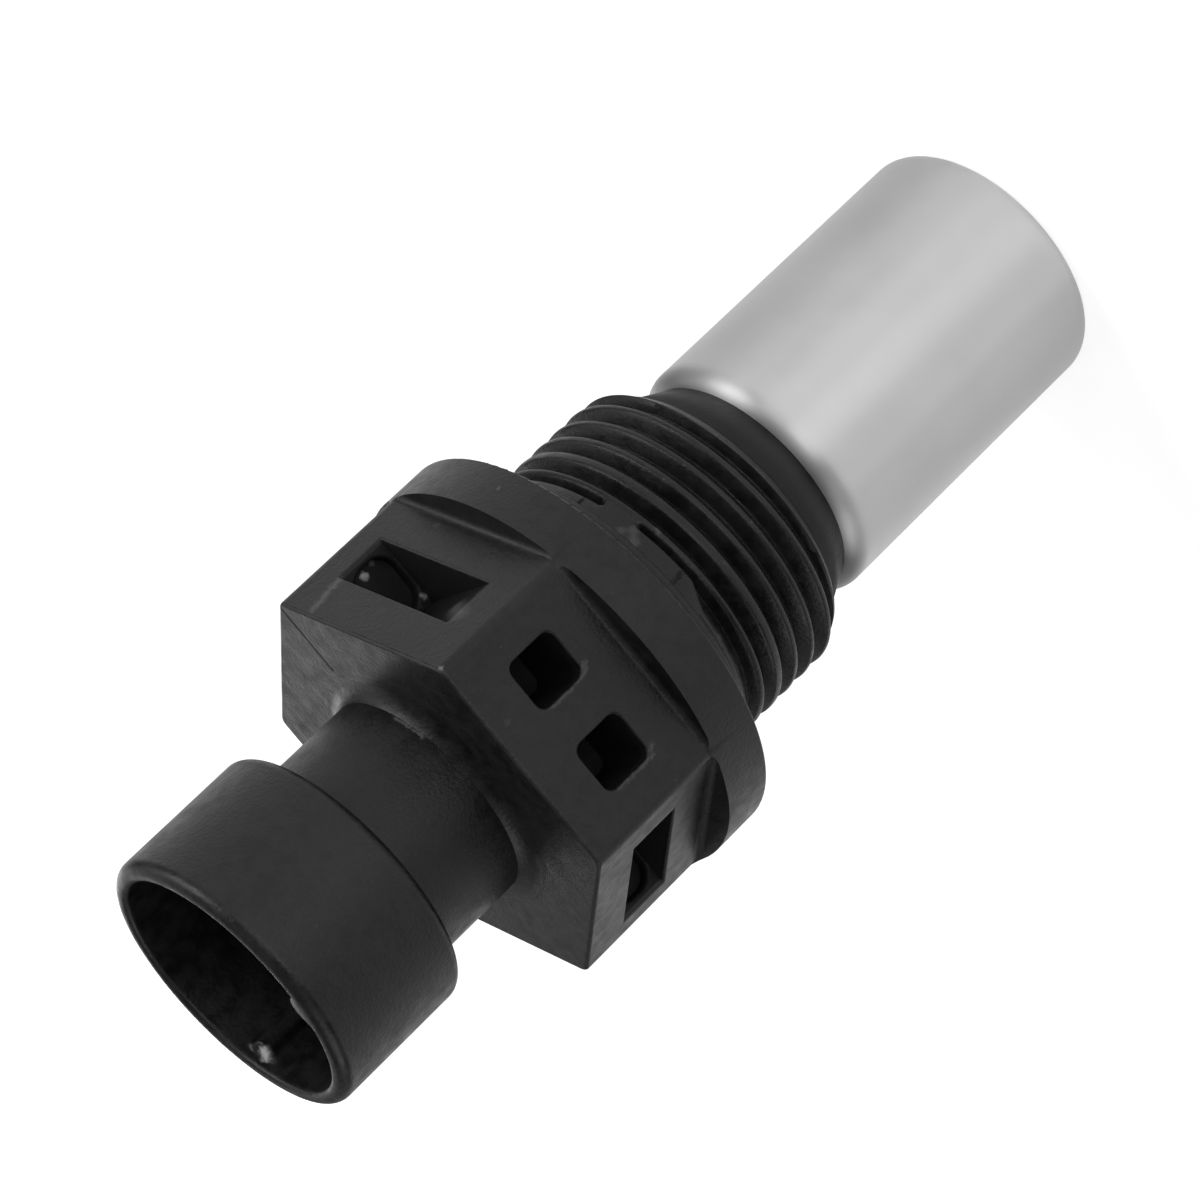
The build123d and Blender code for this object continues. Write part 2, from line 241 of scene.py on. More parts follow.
# Threaded shank. A row keeps one place in the thread's profile and climbs by a pitch in a turn:
# z = first crest - pitch * (turn + place) + pitch * angle / 360. Depth under the crest is the
# smaller of the two flanks, rounded at the edges and cut off at the root.
def threadShell(sizes):
    pitch, columns, rows = sizes["pitch"], sizes["columns"], len(sizes["rows"])
    angle = columnAngles(columns, -180.0)
    climb = angle / 360
    turns = np.arange(*sizes["turns"])
    turn = np.repeat(turns, rows)[:, None]
    share = np.tile(sizes["rows"], len(turns))[:, None]
    along = turn + 0.5 - climb      # turns along the helix, whole where the angle wraps
    widths = np.array(sizes["crestHalfWidths"]) / pitch
    widthTurns = np.arange(len(widths)) + sizes["firstWidthTurn"]

    # the first groove is a slot that opens towards the left
    opened = 1 - smoothStep(sizes["openTo"], sizes["openFrom"], angle)
    softened = opened * smoothStep(sizes["steepTo"], sizes["steepFrom"], angle) * (along < 0)
    flanks = np.radians([sizes["flank"], sizes["slotFlank"], sizes["openFlank"]])
    flankTan, slotTan, openTan = np.tan(flanks)
    softTan = flankTan + (openTan - flankTan) * softened
    upperTan = np.where(along < 0, slotTan + (softTan - slotTan) * opened, flankTan)
    slotEdge = np.where(angle > sizes["slotRightFrom"], sizes["slotRight"], sizes["slotLeft"])
    upper = np.interp(turn - climb, widthTurns, widths)
    upper = np.where(along < 0, slotEdge + (upper - slotEdge) * opened, upper)
    lower = 1 - np.interp(turn + 1 - climb, widthTurns, widths)

    # each row's place in the profile, in pitches
    deepest = sizes["crestRadius"] - sizes["rootRadius"]
    valley = (upper * flankTan + lower * upperTan) / (flankTan + upperTan)
    rootUpper = np.minimum(upper + deepest * upperTan / pitch, valley - sizes["rootLeast"])
    rootLower = np.maximum(lower - deepest * flankTan / pitch, valley + sizes["rootLeast"])
    places = [np.zeros(along.shape), upper, rootUpper, rootLower, lower, np.ones(along.shape)]
    place = sum(np.where((share >= n) & (share < n + 1), a + (b - a) * (share - n), 0)
                for n, (a, b) in enumerate(zip(places, places[1:])))

    edge = sizes["edgeRound"]
    upperDepth = softRamp((place - upper) * pitch, edge + (sizes["openRound"] - edge) * softened) / upperTan
    lowerDepth = softRamp((lower - place) * pitch, edge) / flankTan
    depth = softLeast(softLeast(upperDepth, lowerDepth, sizes["valleyRound"]), deepest, sizes["rootRound"])
    bridgeStart, bridgeEnd = (smoothStep(*ends, along) for ends in sizes["bridge"])
    cut = smoothStep(*sizes["grooveStart"], along) * (1 - bridgeStart * (1 - bridgeEnd))
    crest, land = sizes["crestRadius"], sizes["landRadius"]
    radius = land + (crest - land) * smoothStep(*sizes["landEnd"], turn + place)
    radius = radius - np.clip(depth, 0, None) * cut
    height = sizes["firstCrest"] - pitch * (turn + place) + pitch * climb

    # chamfer at the thread's lower end, and both ends cut level
    nose, foot, top = sizes["noseRadius"], sizes["chamferFoot"], sizes["top"]
    chamfer = nose + (height - foot) * (crest - nose) / (sizes["chamferTop"] - foot)
    chamfered = height < sizes["chamferTop"] + sizes["chamferReach"]
    radius = np.where(chamfered, softLeast(radius, chamfer, sizes["chamferRound"]), radius)
    radius = np.where(height <= foot, nose, np.where(height >= top, land, radius))
    grid = turnedPoints(radius, np.clip(height, foot, top), angle + sizes["angleZero"])
    return grid, closedGridFaces(len(grid), columns, wrapRows=-rows, downwards=True)


# Nose below the thread: a rounded edge, a short undercut and a cone that ends under the can's lip
def noseShell(sizes):
    edge, foot = sizes["noseRadius"], sizes["chamferFoot"]
    profile = [(edge - inwards, foot - down) for inwards, down in sizes["undercut"]]
    profile.append((sizes["noseTip"], sizes["noseTipHeight"]))
    return turnedShell(profile, sizes["columns"], sizes["angleZero"] - 180, downwards=True)


# What stays of the CAD's housing: above the hexagon and below the seat only what lies inside these
# radii, and everything again from the nose's tip down
keptWalls = {"margin": 0.001, "insideTop": 7.42, "insideFoot": 9.0, "tip": -19.14}


def keptHousing(kept, hexTop):
    corners = nodeTriangles("housing")
    radius = np.hypot(corners[..., 0], corners[..., 1]).mean(axis=1)
    highest, lowest = corners[..., 2].max(axis=1), corners[..., 2].min(axis=1)
    aboveHexagon = (highest > hexTop + kept["margin"]) & (radius > kept["insideTop"])
    belowSeat = (lowest < -kept["margin"]) & (highest > kept["tip"]) & (radius > kept["insideFoot"])
    corners = corners[~(aboveHexagon | belowSeat)]
    return corners, np.arange(len(corners) * 3).reshape(-1, 3)


housing = pieceFromShells("moulded_housing", [
    keptHousing(keptWalls, upperHousing["hexTop"]),
    upperShell(upperHousing), threadShell(thread), noseShell(thread),
])
weighted = housing.modifiers.new("even flats", "WEIGHTED_NORMAL")
weighted.keep_sharp = True
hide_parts("housing")
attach(housing, "root")
print("housing:", len(housing.data.polygons), "faces")


# Can: drawn sheet with its lip rolled in, turned from one closed profile

can = {
    "columns": 256, "radius": 11.12, "wall": 0.6, "tip": -49.35, "tipRound": 1.6,
    "lip": -19.15, "lipRound": 1.5, "mouth": 10.03, "innerLipRound": 0.4,
    # extra rings: how far out the flat tip's inner one lies, margins beside its round and the wall's rounds
    "tipInner": 2.0, "tipMargin": 0.4, "wallMargin": 0.5, "wallRings": 9,
}


# From the middle of the tip, up the outer wall, over the lip and down inside
def canShell(sizes):
    outer, inner, wall = sizes["radius"], sizes["radius"] - sizes["wall"], sizes["wall"]
    tip, tipRound, lip, lipRound = sizes["tip"], sizes["tipRound"], sizes["lip"], sizes["lipRound"]
    lean = np.degrees(np.arccos((sizes["mouth"] - outer + lipRound) / lipRound))
    small, margin = sizes["innerLipRound"], sizes["wallMargin"]
    rings = np.linspace(tip + tipRound + margin, lip - lipRound - margin, sizes["wallRings"])
    return turnedShell(np.concatenate([
        [(0, tip), (sizes["tipInner"], tip), (outer - tipRound - sizes["tipMargin"], tip)],
        arc(outer - tipRound, tip + tipRound, tipRound, 270, 360, steps=14),
        [(outer, height) for height in rings],
        arc(outer - lipRound, lip - lipRound, lipRound, 0, lean, steps=14),
        [(sizes["mouth"], lip - wall)],
        arc(inner - small, lip - wall - small, small, 90, 0, steps=5),
        arc(inner - tipRound + wall, tip + tipRound, tipRound - wall, 360, 270, steps=8),
        [(0, tip + wall)],
    ]), sizes["columns"])


drawnCan = pieceFromShells("drawn_can", [canShell(can)], sharpAngle=50.0)
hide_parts("sensor_can")
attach(drawnCan, "root")
print("can:", len(drawnCan.data.polygons), "faces")


# Ring under the flange, round in section

flangeRing = {
    "columns": 256, "middle": 14.4, "section": 1.1, "height": -1.1,
    "sides": (-90, 250, 34),         # first and last point round the section, and how many
}


# A circle of the section's radius, turned round the axis and closed on itself
def ringShell(sizes):
    profile = arc(sizes["middle"], sizes["height"], sizes["section"], *sizes["sides"])
    return turnedShell(np.concatenate([profile, profile[:1]]), sizes["columns"])


sealRing = pieceFromShells("seal_ring", [ringShell(flangeRing)])
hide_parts("flange_o_ring")
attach(sealRing, "root")
print("ring:", len(sealRing.data.polygons), "faces")


# Finishes. A Field wraps a node socket: a sum of fields and numbers adds its Math nodes.

class Field:
    def __init__(self, finish, socket):
        self.finish = finish
        self.socket = socket

    # Another output of the same node
    def output(self, name):
        return Field(self.finish, self.socket.node.outputs[name])

    def __add__(self, other):
        return self.finish.maths("ADD", self, other)

    def __sub__(self, other):
        return self.finish.maths("SUBTRACT", self, other)

    def __rsub__(self, other):
        return self.finish.maths("SUBTRACT", other, self)

    def __mul__(self, other):
        return self.finish.maths("MULTIPLY", self, other)

    def __truediv__(self, other):
        return self.finish.maths("DIVIDE", self, other)

    def __gt__(self, other):
        return self.finish.maths("GREATER_THAN", self, other)

    def __lt__(self, other):
        return self.finish.maths("LESS_THAN", self, other)

    def __abs__(self):
        return self.finish.maths("ABSOLUTE", self)

    __radd__ = __add__
    __rmul__ = __mul__


class Finish:
    # The node tree of a material or of the world, cleared
    def __init__(self, owner):
        owner.use_nodes = True
        self.owner = owner
        self.tree = owner.node_tree
        self.tree.nodes.clear()

    # Any node: its type, its settings first, then the values or links of its sockets
    def node(self, kind, settings=None, inputs=None, output=0):
        made = self.tree.nodes.new("ShaderNode" + kind)
        for key, value in (settings or {}).items():
            setattr(made, key, value)
        for key, value in (inputs or {}).items():
            if isinstance(value, Field):
                self.tree.links.new(value.socket, made.inputs[key])
            else:
                made.inputs[key].default_value = value
        return Field(self, made.outputs[output]) if made.outputs else made

    def maths(self, operation, *values):
        return self.node("Math", {"operation": operation}, dict(enumerate(values)))

    def vectors(self, operation, *values, output="Vector"):
        return self.node("VectorMath", {"operation": operation}, dict(enumerate(values)), output)

    # Place on the piece in millimetres
    def place(self):
        here = self.node("TexCoord", output="Object")
        return self.node("VectorMath", {"operation": "SCALE"}, {0: here, "Scale": 1 / millimetre})

    # The three coordinates of a place
    def axes(self, place):
        parted = self.node("SeparateXYZ", {}, {0: place})
        return [parted.output(axis) for axis in range(3)]

    def noise(self, place, scale, detail=3.0, rough=0.5):
        return self.node("TexNoise", {},
                         {"Vector": place, "Scale": scale, "Detail": detail, "Roughness": rough})

    # 1 for the named kind of ray, else 0; used by the floor and the sky alone
    def ray(self, kind):
        return self.node("LightPath", output=kind)

    # From 0 at low to 1 at high, eased at both ends
    def eased(self, value, low, high):
        return self.node("MapRange", {"interpolation_type": "SMOOTHSTEP"},
                         {"Value": value, "From Min": low, "From Max": high})

    # The value kept between 0 and 1
    def clamped(self, value):
        return self.node("Clamp", {}, {"Value": value})

    # First colour where the share is 0 and second where it is 1
    def blend(self, share, first, second):
        return self.node("Mix", {"data_type": "RGBA"}, {0: share, 6: first, 7: second}, output=2)

    # Relief, its depth in millimetres, on top of another one if that is given
    def bump(self, height, distance, under=None):
        inputs = {"Strength": 1.0, "Distance": distance * millimetre, "Height": height}
        if under is not None:
            inputs["Normal"] = under
        return self.node("Bump", {}, inputs)

    def shader(self, inputs):
        return self.node("BsdfPrincipled", {}, inputs)

    # The finished material, with this shader as its surface
    def surface(self, shader):
        self.node("OutputMaterial", {}, {"Surface": shader})
        return self.owner


def grey(level):
    return (level, level, level, 1.0)


def newFinish(name):
    return Finish(bpy.data.materials.new(name))


mouldedBlack = {
    # darkest and palest colour, and how far the patches between them stand out
    "dark": 0.0045, "light": 0.0115, "cloudShare": 0.4, "contrast": (0.38, 0.62),
    "roughness": 0.40, "roughnessSpread": 0.12, "roughnessMottle": 0.42, "gloss": 0.335,
    # patches per millimetre: wide, middling, fine and those of the ripple; depths in millimetres
    "cloudScale": 0.11, "mottleScale": 0.8, "grainScale": 3.2, "rippleScale": 0.45,
    "grain": 0.042, "ripple": 0.028, "rippleMottle": 0.4,
    # pale flecks: how many to the millimetre, which share of them has none, size and paleness
    "fleckScale": 0.8, "fleckNone": 0.92, "fleckSize": (0.03, 0.11), "fleckPale": 0.2,
    # all marks are ragged by noise of this scale and reach, and this much paler for strength 1
    "stirScale": 2.2, "stirReach": 0.8, "speck": 0.12,
    # matte colours, the darker one used in the pockets, on the seam and at the nicks. In the pockets, from
    # their foot to the hexagon's top and this far inside its flats, the darker matte is painted shade of the
    # recesses
    "dull": 0.028, "dullest": 0.016, "pocketShade": 0.92, "sidePocketShade": 0.75,
    "halfFlats": 16.0, "pocketInside": 0.35, "pocketFoot": 4.5, "hexTop": 17.2, "topMargin": 0.1,
    # and painted shade under the thread's last crest: the nose's upper end turns matte
    "noseShade": 0.75, "noseFrom": -18.6, "noseTo": -16.2, "noseEdge": -15.2,
    # the hexagon's upper edges are worn pale
    "edgeWear": 0.10, "edgeLow": 16.85, "edgeIn": 15.7, "edgeMargin": 0.005,
    # parting line of the two mould halves: where it lies, its half width, and from where on it shows
    "seamOffset": 0.3, "seamWidth": (0.04, 0.2), "seamFrom": 11.8, "seamDull": 0.9,
    # pale scuff marks, and painted glints: small bright spots that stand in for highlights. Place, radius,
    # how pale; the inner share of the radius is pale all over
    "scuffAndGlintCore": 0.2,
    "scuffsAndGlints": [
        # the entries of these three lines and the last one are painted glints, on the right pocket's recess,
        # a hexagon corner, the hexagon's foot, the flange and the socket's far rib; the others are pale
        # patches on the land, the crests and the hexagon
        ((15.71, -1.0, 10.9), 0.50, 3.5), ((16.04, -1.0, 9.8), 0.36, 0.6),
        ((11.69, -2.2, 8.7), 0.40, 1.5), ((9.34, -15.73, 16.87), 0.30, 1.2),
        ((15.45, -5.24, 5.42), 0.45, 0.2), ((15.1, -10.43, 2.01), 0.28, 0.4),
        ((5.6, -12.1, -3.0), 0.75, 0.4), ((6.7, -11.6, -3.1), 0.60, 0.30),
        ((6.1, -11.9, -3.7), 0.70, 0.32), ((4.9, -12.4, -5.0), 0.45, 0.5),
        ((-4.19, -12.17, -3.3), 0.55, 0.3), ((-0.17, -13.48, -7.18), 0.2, 0.3),
        ((7.21, -11.34, -8.55), 0.2, 0.3), ((7.02, -11.47, -10.59), 0.2, 0.3),
        ((0.66, -13.44, -11.12), 0.2, 0.25), ((-9.13, -7.78, 17.2), 0.5, 0.15),
        ((3.14, -16.0, 15.65), 0.4, 0.15), ((-7.0, 6.9, 38.55), 0.8, 4.0),
    ],
    # painted highlights: pale lines along edges and over a wall where light falls. First end, last end, half
    # width, how pale
    "highlightLines": [
        # painted highlight above the right pocket, and painted light on that pocket's inner wall
        ((16.78, -2.95, 16.6), (17.05, -2.45, 13.0), 0.50, 0.45),     # above the right pocket
        ((10.9, -12.9, 11.9), (10.9, -10.5, 10.8), 1.3, 0.42),        # that pocket's inner wall
        # painted highlight along the neck's foot
        ((5.0, -7.9, 18.2), (7.2, -5.9, 18.2), 0.26, 0.8),            # neck's foot
        # painted highlights along the edges of the middle pockets
        ((-6.2, -16.0, 12.2), (-6.2, -16.0, 8.7), 0.28, 0.3),         # edges of the middle pockets
        ((-6.15, -16.0, 8.5), (-5.5, -16.0, 7.95), 0.32, 0.35),
        ((1.65, -16.0, 12.2), (1.65, -16.0, 8.7), 0.28, 0.3),
        ((1.7, -16.0, 8.5), (2.4, -16.0, 7.95), 0.32, 0.35),
    ],
    # dull nicks: first end, last end, half width, strength; solid this far out, fading this much beyond
    "nickCore": 0.05, "nickFade": 0.15,
    "nicks": [
        ((1.5, -13.3, -2.5), (1.5, -13.3, -4.1), 0.15, 0.8),          # in the land under the flange
        ((9.95, -9.0, -2.6), (10.1, -8.9, -3.9), 0.13, 1.0),
        ((-3.4, -8.2, 39.5), (-2.2, -8.6, 39.5), 0.9, 0.8),           # top of the near rib
    ],
}


# Distance from a line between two ends: root of (beside^2 + beyond^2), where beside is measured
# square to the line and beyond is how far past its nearer end
def lineDistance(f, here, first, last):
    middle = (np.array(first) + last) / 2
    half = np.array(last) - middle
    length = np.linalg.norm(half)
    away = f.vectors("SUBTRACT", here, tuple(middle))
    along = f.vectors("DOT_PRODUCT", away, tuple(half / length), output="Value")
    reach = f.vectors("LENGTH", away, output="Value")
    beyond = f.maths("MAXIMUM", abs(along) - length, 0.0)
    besideSquared = f.maths("MAXIMUM", reach * reach - along * along, 0.0)
    return f.maths("SQRT", besideSquared + beyond * beyond)


# Pale marks and painted highlights on the moulding, as what they add to its colour: flecks, pale scuff marks,
# painted glints and painted highlight lines
def paleMarksAndHighlights(f, here, ragged, look):
    cells = {"Vector": here, "Scale": look["fleckScale"]}
    fleck = f.node("TexVoronoi", {"feature": "F1"}, cells, output="Distance")
    chosen = f.node("SeparateColor", {}, {0: fleck.output("Color")}) > look["fleckNone"]
    pale = (1 - f.eased(fleck, *look["fleckSize"])) * chosen * look["fleckPale"]
    for centre, radius, strength in look["scuffsAndGlints"]:
        away = f.vectors("DISTANCE", ragged, centre, output="Value")
        pale = pale + (1 - f.eased(away, radius * look["scuffAndGlintCore"], radius)) * strength
    for first, last, halfWidth, strength in look["highlightLines"]:
        pale = pale + (1 - f.eased(lineDistance(f, ragged, first, last), 0.0, halfWidth)) * strength
    return pale


# Moulded surface with gloss, mixed with a matte one where the mould left it dull along the seam, where it is
# nicked, and as painted shade in the pockets and at the nose's upper end
def housingFinish(look):
    f = newFinish("glass filled black plastic")
    here = f.place()
    cloud = f.noise(here, look["cloudScale"], detail=2.0)
    mottle = f.noise(here, look["mottleScale"], detail=4.0, rough=0.55)
    grain = f.noise(here, look["grainScale"], detail=4.0, rough=0.6)
    patches = look["cloudShare"] * cloud + (1 - look["cloudShare"]) * mottle
    base = look["dark"] + (look["light"] - look["dark"]) * f.eased(patches, *look["contrast"])
    stir = f.vectors("SUBTRACT", f.noise(here, look["stirScale"]).output("Color"), (0.5, 0.5, 0.5))
    ragged = f.vectors("MULTIPLY_ADD", stir, (look["stirReach"],) * 3, here)
    pale = paleMarksAndHighlights(f, here, ragged, look)

    # how far out of the hexagon's middle, measured square to its nearest flat
    x, y, z = f.axes(here)
    sideways = x * np.cos(np.radians(30))
    lean = y * np.sin(np.radians(30))
    sides = f.maths("MAXIMUM", abs(sideways + lean), abs(sideways - lean))
    widest = f.maths("MAXIMUM", abs(y), sides)
    hexTop, margin = look["hexTop"], look["topMargin"]
    worn = (z > look["edgeLow"]) * (hexTop - look["edgeMargin"] > z) * (widest > look["edgeIn"])
    pale = (pale + worn * mottle * look["edgeWear"]) * look["speck"]

    # painted shade: in the pockets the surface turns matte and darker
    inHexagon = (z > look["pocketFoot"]) * (hexTop - margin > z)
    inPocket = inHexagon * (look["halfFlats"] - look["pocketInside"] > widest)
    pocketShade = look["sidePocketShade"] + (look["pocketShade"] - look["sidePocketShade"]) * (abs(y) > sides)
    onTop = (z > hexTop - margin) * (hexTop + margin > z) * (x > look["seamFrom"])
    seam = (1 - f.eased(abs(y - look["seamOffset"]), *look["seamWidth"])) * onTop
    # painted shade under the last crest: the nose turns matte towards its upper end
    nose = f.eased(z, look["noseFrom"], look["noseTo"]) * (look["noseEdge"] > z)
    nick = 0.0
    for first, last, halfWidth, strength in look["nicks"]:
        away = lineDistance(f, ragged, first, last)
        nick = (1 - f.eased(away, look["nickCore"], halfWidth + look["nickFade"])) * strength + nick
    # matte share and the darker matte colour: painted shade in the pockets and at the nose, together with the
    # seam and the nicks
    dull = f.clamped(inPocket * pocketShade + seam * look["seamDull"] + nose * look["noseShade"] + nick)
    dark = f.clamped(inPocket + seam + nick) * (look["dull"] - look["dullest"])

    rough = look["roughness"] + look["roughnessSpread"] * (cloud - 0.5)
    rough = rough + look["roughnessMottle"] * (mottle - 0.5)
    waves = f.noise(here, look["rippleScale"], detail=2.0) + look["rippleMottle"] * mottle
    ripple = f.bump(waves, look["ripple"])
    moulded = f.shader({"Base Color": base + pale, "Roughness": rough, "Specular IOR Level": look["gloss"],
                        "Normal": f.bump(grain, look["grain"], under=ripple)})
    matte = f.shader({"Base Color": look["dull"] + pale - dark, "Roughness": 1.0, "Specular IOR Level": 0.0})
    return f.surface(f.node("MixShader", {}, {0: dull, 1: moulded, 2: matte}))


satinSteel = {
    "base": 0.63, "stain": 0.61, "stainScale": 0.12, "contrast": (0.3, 0.7),
    "roughness": 0.34, "anisotropy": 0.78, "turn": 0.25,
    # drawing lines: noise stretched along the axes; fine noise for the satin
    "lineScales": (0.05, 0.05, 6.0), "line": 0.003, "fineScale": 2.0,
    # how far the roughness varies with the stains, the lines and the fine noise
    "roughnessSpread": (0.03, 0.05, 0.05),
    # how much darker the wall is painted towards its sides, as painted shade of its reflections: from one
    # place across it to another, over its radius, and how far those places wander
    "sideShade": [(0.45, 1.0, 0.27), (-0.25, -0.42, 0.09)], "radius": 11.12, "wander": 0.15,
    # the lip is duller where it was rolled in: heights between which the change runs
    "lipRoughness": 0.50, "lipFoot": -21.3, "lipTop": -20.2,
}


# Lines round the wall as relief, painted shade that darkens the wall towards its sides in wandering steps
# across it, and a duller lip
def canFinish(look):
    f = newFinish("drawn satin steel")
    here = f.place()
    lines = f.noise(f.vectors("MULTIPLY", here, look["lineScales"]), 1.0)
    cloud = f.noise(here, look["stainScale"])
    fine = f.noise(here, look["fineScale"])
    base = look["base"] + (look["stain"] - look["base"]) * f.eased(cloud, *look["contrast"])
    x, _, z = f.axes(here)
    # painted shade: the wall is darker towards +X and a little towards -X
    across = x / look["radius"] + look["wander"] * (cloud - 0.5)
    for low, high, share in look["sideShade"]:
        base = base * (1 - share * f.eased(across, low, high))
    lip = f.eased(z, look["lipFoot"], look["lipTop"])
    rough = look["roughness"] + (look["lipRoughness"] - look["roughness"]) * lip
    for spread, noise in zip(look["roughnessSpread"], (cloud, lines, fine)):
        rough = rough + spread * (noise - 0.5)
    return f.surface(f.shader({
        "Base Color": base, "Metallic": 1.0, "Roughness": rough, "Anisotropic": look["anisotropy"],
        "Anisotropic Rotation": look["turn"], "Normal": f.bump(lines, look["line"]),
    }))


# Plain finishes of the other pieces: colour pair, how rough, metal or not, size and depth of grain,
# and how strongly the ones that aren't metal mirror
otherFinishes = {
    "seal_rubber": ((0.007, 0.007, 0.007, 1), (0.012, 0.012, 0.012, 1), 0.55, 0, 3.2, 0.010, 0.30),
    "bobbin_plastic": ((0.55, 0.50, 0.42, 1), (0.62, 0.57, 0.48, 1), 0.45, 0, 1.6, 0.010, 0.5),
    "film_amber": ((0.60, 0.26, 0.04, 1), (0.68, 0.33, 0.07, 1), 0.30, 0, 1.2, 0.006, 0.5),
    "soft_iron": ((0.34, 0.33, 0.32, 1), (0.42, 0.41, 0.40, 1), 0.42, 1, 4.0, 0.006, 0.5),
    "magnet_alloy": ((0.40, 0.39, 0.37, 1), (0.48, 0.46, 0.44, 1), 0.34, 1, 2.8, 0.006, 0.5),
    "terminal_plating": ((0.62, 0.60, 0.55, 1), (0.70, 0.68, 0.62, 1), 0.28, 1, 3.6, 0.004, 0.5),
    "lead_insulation": ((0.55, 0.52, 0.46, 1), (0.62, 0.59, 0.53, 1), 0.42, 0, 2.4, 0.006, 0.4),
    "sleeve_plastic": ((0.03, 0.03, 0.03, 1), (0.05, 0.05, 0.05, 1), 0.50, 0, 2.4, 0.006, 0.35),
    "carrier_plastic": ((0.018, 0.018, 0.018, 1), (0.028, 0.028, 0.027, 1), 0.46, 0, 4.8, 0.010, 0.35),
    "potting_resin": ((0.020, 0.018, 0.016, 1), (0.032, 0.028, 0.024, 1), 0.24, 0, 0.6, 0.020, 0.5),
}
plainPatches = {"scale": 0.35, "contrast": (0.3, 0.7), "roughness": 0.10, "grainRoughness": 0.08}


# Two colours in soft patches over a fine grain
def plainFinish(name, dark, light, roughness, metal, grainScale, grainDepth, gloss, patches=plainPatches):
    f = newFinish(name)
    here = f.place()
    cloud = f.noise(here, patches["scale"])
    grain = f.noise(here, grainScale, detail=4.0, rough=0.6)
    rough = roughness + patches["roughness"] * (cloud - 0.5) + patches["grainRoughness"] * (grain - 0.5)
    return f.surface(f.shader({
        "Base Color": f.blend(f.eased(cloud, *patches["contrast"]), dark, light), "Roughness": rough,
        "Metallic": float(metal), "Specular IOR Level": gloss, "Normal": f.bump(grain, grainDepth),
    }))


enamelledCopper = {
    "wire": 0.22, "dark": (0.36, 0.10, 0.035, 1), "light": (0.52, 0.18, 0.07, 1), "contrast": (0.2, 0.8),
    "patchScale": 0.3, "ridgeShade": 0.15, "roughness": 0.26, "roughnessSpread": 0.08,
}


# Wire in close turns: a sine wave up the axis, one ridge for each turn
def copperFinish(look):
    f = newFinish("enamelled copper turns")
    here = f.place()
    ridge = f.maths("SINE", f.axes(here)[2] * (2 * np.pi / look["wire"]))
    cloud = f.noise(here, look["patchScale"], detail=2.0)
    shade = f.eased(cloud + look["ridgeShade"] * ridge, *look["contrast"])
    return f.surface(f.shader({
        "Base Color": f.blend(shade, look["dark"], look["light"]), "Metallic": 1.0,
        "Roughness": look["roughness"] + look["roughnessSpread"] * (cloud - 0.5),
        "Normal": f.bump(ridge, look["wire"] / 4),
    }))


finishes = {slot: plainFinish(slot.replace("_", " "), *values) for slot, values in otherFinishes.items()}
finishes["housing_plastic"] = housingFinish(mouldedBlack)
finishes["can_steel"] = canFinish(satinSteel)
finishes["coil_copper"] = copperFinish(enamelledCopper)

for part in frame["record"]["subparts"]:
    slots = frame["nodes"][part["node"]].data.materials
    slots.clear()
    slots.append(finishes[part["material_slot"]])
housing.data.materials.append(finishes["housing_plastic"])
drawnCan.data.materials.append(finishes["can_steel"])
sealRing.data.materials.append(finishes["seal_rubber"])
print("finishes:", len(finishes))


# Stage: floor under the can's tip, soft lamps, camera where the photograph was taken from

stage = {
    "floorHeight": -49.36, "floorHalf": 1500.0,
    "floorColours": (0.82, 0.86), "floorPatches": 0.004,
    # white added to the floor for the camera, full beyond the fade, and for mirrored rays
    "whiteSeen": 0.62, "fade": (180.0, 600.0), "whiteMirrored": 0.34,
    # the sky's level for all but the camera, and the glow overhead by how steeply a ray climbs
    "skyLevel": 0.04, "overhead": 0.20, "overheadClimb": (0.6, 0.95),
    # azimuth, elevation, width, height, watts; all stand the same distance from where they aim
    "lamps": {
        "front": (8, 14, 250, 240, 0.48),
        "front right": (40, 14, 170, 240, 0.20),
        "right low": (80, 4, 200, 160, 0.04),
        "right": (89, 35, 270, 180, 0.78),
        "right behind": (132, 34, 260, 200, 0.17),
        "back low": (180, 4, 180, 160, 0.29),
        "back": (178, 35, 300, 180, 0.125),
        "back left": (-148, 14, 240, 260, 0.05),
        "left": (-90, 35, 300, 180, 0.34),
        "front left": (-46, 36, 240, 200, 0.11),
        "top": (88, 60, 260, 300, 0.12),
    },
    "lampDistance": 450.0, "lampAim": (0.0, 0.0, -5.0),
}

camera = {
    "place": (61.77, -299.21, 131.97),
    # direction it looks from, and how far it is turned about its own line of sight
    "azimuth": 11.355, "elevation": 23.915, "roll": -133.834,
    "lens": 129.7, "sensor": 36.0, "clip": (10.0, 20000.0),
}


# The floor keeps the object's shadow; what is added makes it white to the camera and in the steel
def addFloor(sizes):
    half, z = sizes["floorHalf"], sizes["floorHeight"]
    corners = np.array([(-half, -half, z), (half, -half, z), (half, half, z), (-half, half, z)]) * millimetre
    mesh = bpy.data.meshes.new("floor")
    mesh.from_pydata(corners.tolist(), [], [(0, 1, 2, 3)])
    floor = bpy.data.objects.new("floor", mesh)
    bpy.context.scene.collection.objects.link(floor)
    f = newFinish("pale floor")
    here = f.place()
    darker, paler = (grey(level) for level in sizes["floorColours"])
    colour = f.blend(f.noise(here, sizes["floorPatches"], detail=2.0), darker, paler)
    card = f.node("BsdfDiffuse", {}, {"Color": colour})
    away = f.vectors("LENGTH", here, output="Value")
    faded = sizes["whiteSeen"] + (1 - sizes["whiteSeen"]) * f.eased(away, *sizes["fade"])
    mirrored = f.ray("Is Glossy Ray") + f.ray("Is Transmission Ray")
    added = f.ray("Is Camera Ray") * faded + mirrored * sizes["whiteMirrored"]
    white = f.node("Emission", {}, {"Color": grey(1.0), "Strength": added})
    mesh.materials.append(f.surface(f.node("AddShader", {}, {0: card, 1: white})))


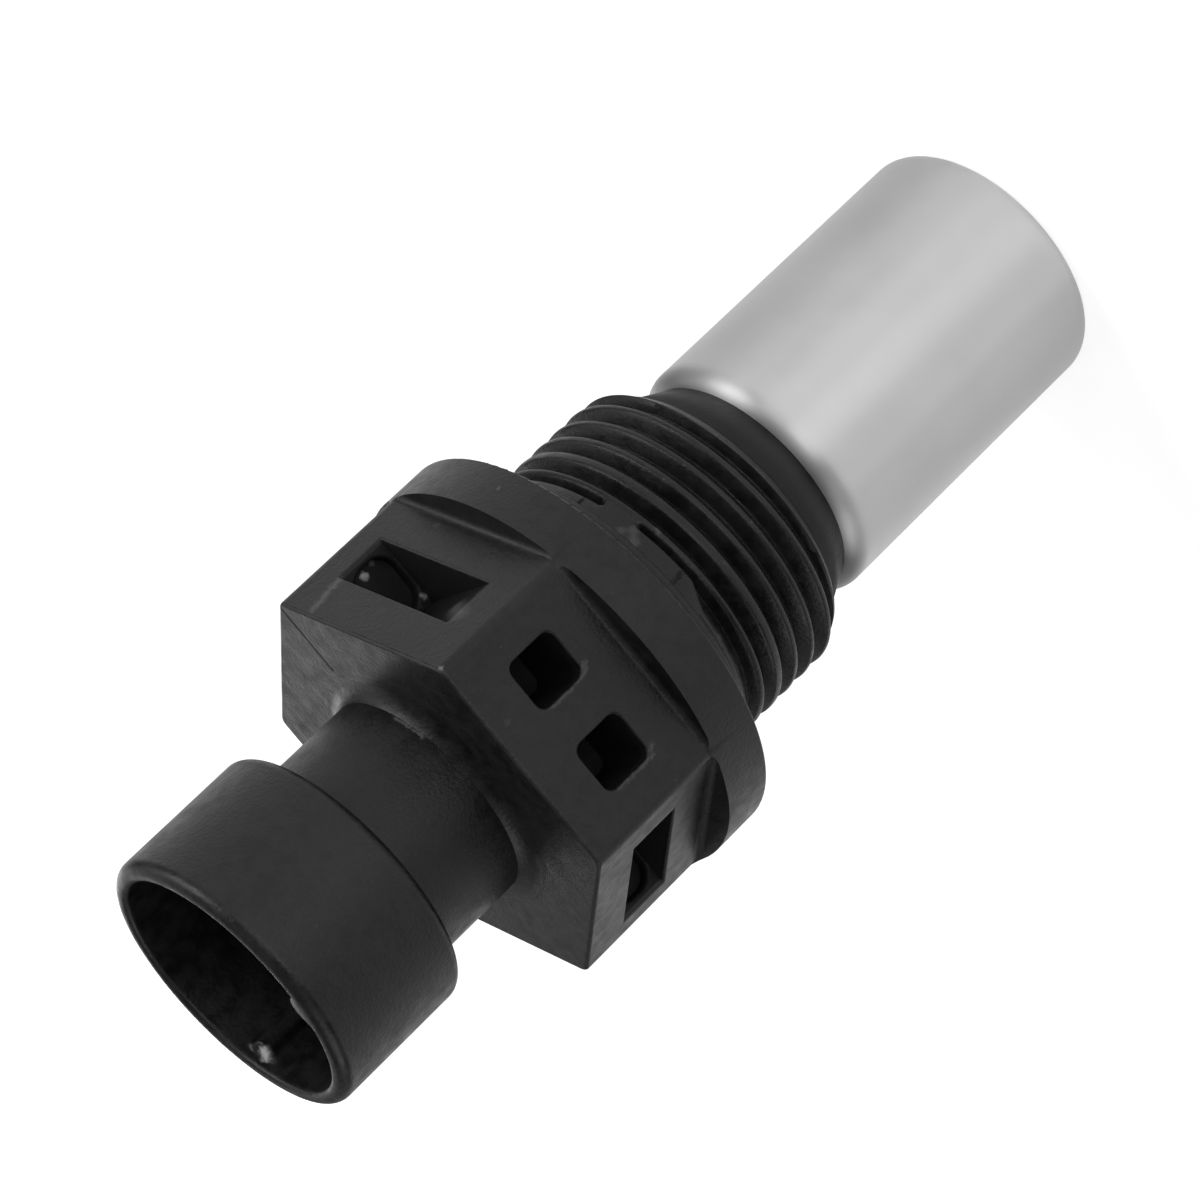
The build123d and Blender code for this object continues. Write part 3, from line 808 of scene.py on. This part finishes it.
# White to the camera; to every other ray a dim room with a soft glow overhead
def addSky(sizes):
    world = bpy.data.worlds.new("studio")
    bpy.context.scene.world = world
    f = Finish(world)
    seen = f.ray("Is Camera Ray") + f.ray("Is Transmission Ray")
    climb = f.axes(f.node("TexCoord", output="Generated"))[2]
    room = sizes["skyLevel"] + sizes["overhead"] * f.eased(climb, *sizes["overheadClimb"])
    sky = f.node("Background", {}, {"Color": grey(1.0), "Strength": room + (1 - room) * seen})
    f.node("OutputWorld", {}, {"Surface": sky})


# Puts a lamp or the camera into the scene, with its own three axes and its place
def putInScene(thing, right, up, back, place):
    turned = np.eye(4)
    turned[:3, 0], turned[:3, 1], turned[:3, 2] = right, up, back
    turned[:3, 3] = np.array(place) * millimetre
    thing.matrix_world = Matrix(turned.tolist())
    bpy.context.scene.collection.objects.link(thing)


# Axes of a lamp or camera that looks at the object from this azimuth and elevation, with its sides
# level: back away from the object, to its right, and up
def levelView(azimuth, elevation):
    e = np.radians(elevation)
    back = turnedPoints(np.cos(e), np.sin(e), azimuth)
    right = turnedPoints(1.0, 0.0, azimuth + 90)
    return back, right, np.cross(back, right)


def addLamp(name, azimuth, elevation, width, height, watts, sizes):
    data = bpy.data.lights.new(name, "AREA")
    data.shape, data.energy = "RECTANGLE", watts
    data.size, data.size_y = width * millimetre, height * millimetre
    back, right, up = levelView(azimuth, elevation)
    place = np.array(sizes["lampAim"]) + back * sizes["lampDistance"]
    putInScene(bpy.data.objects.new(name, data), right, up, back, place)


def addCamera(view):
    data = bpy.data.cameras.new("camera")
    data.lens, data.sensor_width = view["lens"], view["sensor"]
    data.clip_start, data.clip_end = (distance * millimetre for distance in view["clip"])
    back, levelRight, levelUp = levelView(view["azimuth"], view["elevation"])
    roll = np.radians(view["roll"])
    right = levelRight * np.cos(roll) + levelUp * np.sin(roll)
    eye = bpy.data.objects.new("camera", data)
    putInScene(eye, right, np.cross(back, right), back, view["place"])
    bpy.context.scene.camera = eye


addFloor(stage)
addSky(stage)
for name, lamp in stage["lamps"].items():
    addLamp(name, *lamp, stage)
addCamera(camera)
bpy.context.scene.view_settings.view_transform = "Standard"
print("stage set")
